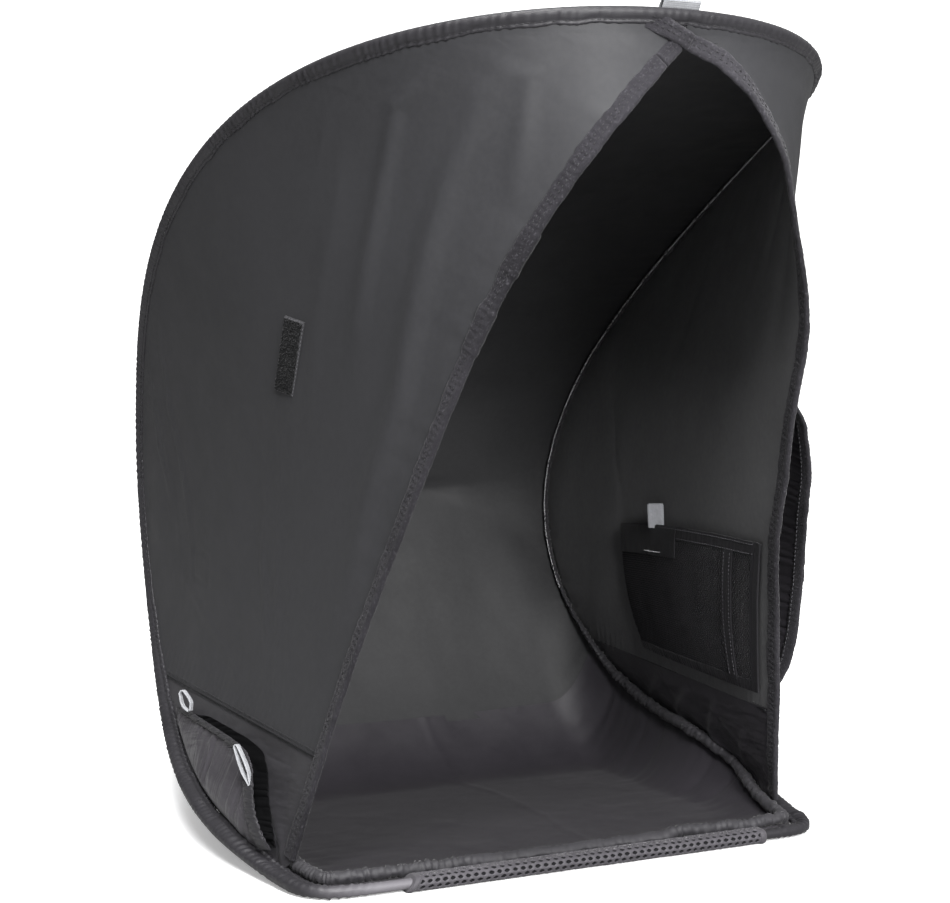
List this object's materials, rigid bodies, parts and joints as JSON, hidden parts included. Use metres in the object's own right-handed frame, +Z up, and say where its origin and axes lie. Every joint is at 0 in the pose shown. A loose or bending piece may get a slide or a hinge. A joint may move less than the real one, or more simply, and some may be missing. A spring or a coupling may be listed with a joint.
{
  "type": "pop-up laptop shade tent",
  "caption": "Pop-up fabric shade tent for a laptop: sprung hoop folded into a C, arched open front, side pockets, webbing tabs and a floor sheet.",
  "frame": {"origin": "on the ground, on the plane of symmetry, under the middle of the flat part of the floor sheet", "axes": "+Z up, +Y from the open front towards the back, +X to the right of someone facing the opening"},
  "size_m": [0.4106, 0.5232, 0.5163],
  "materials": {
    "hoop_band_lower": "bright spring steel",
    "hoop_band_upper": "bright spring steel",
    "hoop_sleeve_lower": "gathered nylon binding",
    "hoop_sleeve_upper": "gathered nylon binding",
    "inner_seam_lower": "gathered seam binding",
    "inner_seam_upper": "gathered seam binding",
    "roof_panel": "coated nylon, black lining inside",
    "back_panel": "coated nylon, black lining inside",
    "floor_sheet": "plain nylon",
    "left_side_panel": "coated nylon, black lining inside",
    "right_side_panel": "coated nylon, black lining inside",
    "left_lower_panel": "plain nylon",
    "right_lower_panel": "plain nylon",
    "left_front_tape_upper": "fuzzy woven tape",
    "right_front_tape_upper": "fuzzy woven tape",
    "left_front_tape_lower": "fuzzy woven tape",
    "right_front_tape_lower": "fuzzy woven tape",
    "apex_patch": "fuzzy woven tape, doubled",
    "front_mesh_sleeve": "spacer mesh",
    "left_fastener_strip": "hook-and-loop pile",
    "top_pull_loop": "woven webbing",
    "left_cargo_pocket": "gathered nylon",
    "left_pocket_hem": "elastic hem",
    "left_pocket_tab_rear": "woven webbing",
    "left_pocket_tab_front": "woven webbing",
    "mesh_pocket_net": "open knitted net",
    "mesh_pocket_hem": "woven binding",
    "mesh_pocket_binding": "woven binding",
    "mesh_pocket_divider": "woven binding",
    "mesh_pocket_patch": "doubled binding",
    "mesh_pocket_tab": "woven webbing",
    "right_side_pocket": "gathered nylon",
    "right_side_pocket_lip": "fuzzy woven tape"
  },
  "bodies": {
    "base": {"hoop_band_lower": "hoop_band_lower", "hoop_sleeve_lower": "hoop_sleeve_lower", "inner_seam_lower": "inner_seam_lower", "back_panel": "back_panel", "floor_sheet": "floor_sheet", "left_lower_panel": "left_lower_panel", "right_lower_panel": "right_lower_panel", "left_front_tape_lower": "left_front_tape_lower", "right_front_tape_lower": "right_front_tape_lower", "front_mesh_sleeve": "front_mesh_sleeve", "left_cargo_pocket": "left_cargo_pocket", "left_pocket_hem": "left_pocket_hem"},
    "hood": {"hoop_band_upper": "hoop_band_upper", "hoop_sleeve_upper": "hoop_sleeve_upper", "inner_seam_upper": "inner_seam_upper", "roof_panel": "roof_panel", "apex_patch": "apex_patch", "left_side_panel": "left_side_panel", "right_side_panel": "right_side_panel", "left_front_tape_upper": "left_front_tape_upper", "right_front_tape_upper": "right_front_tape_upper", "left_fastener_strip": "left_fastener_strip", "mesh_pocket_net": "mesh_pocket_net", "mesh_pocket_hem": "mesh_pocket_hem", "mesh_pocket_binding": "mesh_pocket_binding", "mesh_pocket_divider": "mesh_pocket_divider", "mesh_pocket_patch": "mesh_pocket_patch", "mesh_pocket_tab": "mesh_pocket_tab", "right_side_pocket": "right_side_pocket", "right_side_pocket_lip": "right_side_pocket_lip"},
    "pull_loop": {"top_pull_loop": "top_pull_loop"},
    "rear_tab": {"left_pocket_tab_rear": "left_pocket_tab_rear"},
    "front_tab": {"left_pocket_tab_front": "left_pocket_tab_front"}
  },
  "joints": [
    {"name": "hood_fold", "type": "hinge", "parent": "base", "child": "hood", "pos_m": [0, 0.228, 0.215], "axis": [1, 0, 0], "range_deg": [0, 25], "stiffness_Nm_per_rad": 2, "springref_deg": -34.38, "deforming": ["left_side_panel", "right_side_panel", "left_front_tape_upper", "right_front_tape_upper", "left_fastener_strip", "mesh_pocket_net", "mesh_pocket_hem", "mesh_pocket_binding", "mesh_pocket_divider", "mesh_pocket_patch", "mesh_pocket_tab", "right_side_pocket", "right_side_pocket_lip"]},
    {"name": "pull_loop_flip", "type": "hinge", "parent": "hood", "child": "pull_loop", "pos_m": [-0.006, -0.2604, 0.5068], "axis": [1, 0, 0], "range_deg": [-50, 15]},
    {"name": "rear_tab_flip", "type": "hinge", "parent": "base", "child": "rear_tab", "pos_m": [-0.18755, 0.07486, 0.08226], "axis": [0, -0.8924, 0.4513], "range_deg": [-10, 60]},
    {"name": "front_tab_flip", "type": "hinge", "parent": "base", "child": "front_tab", "pos_m": [-0.19343, -0.05112, 0.05378], "axis": [0, -0.9062, 0.4229], "range_deg": [-8, 60]}
  ]
}
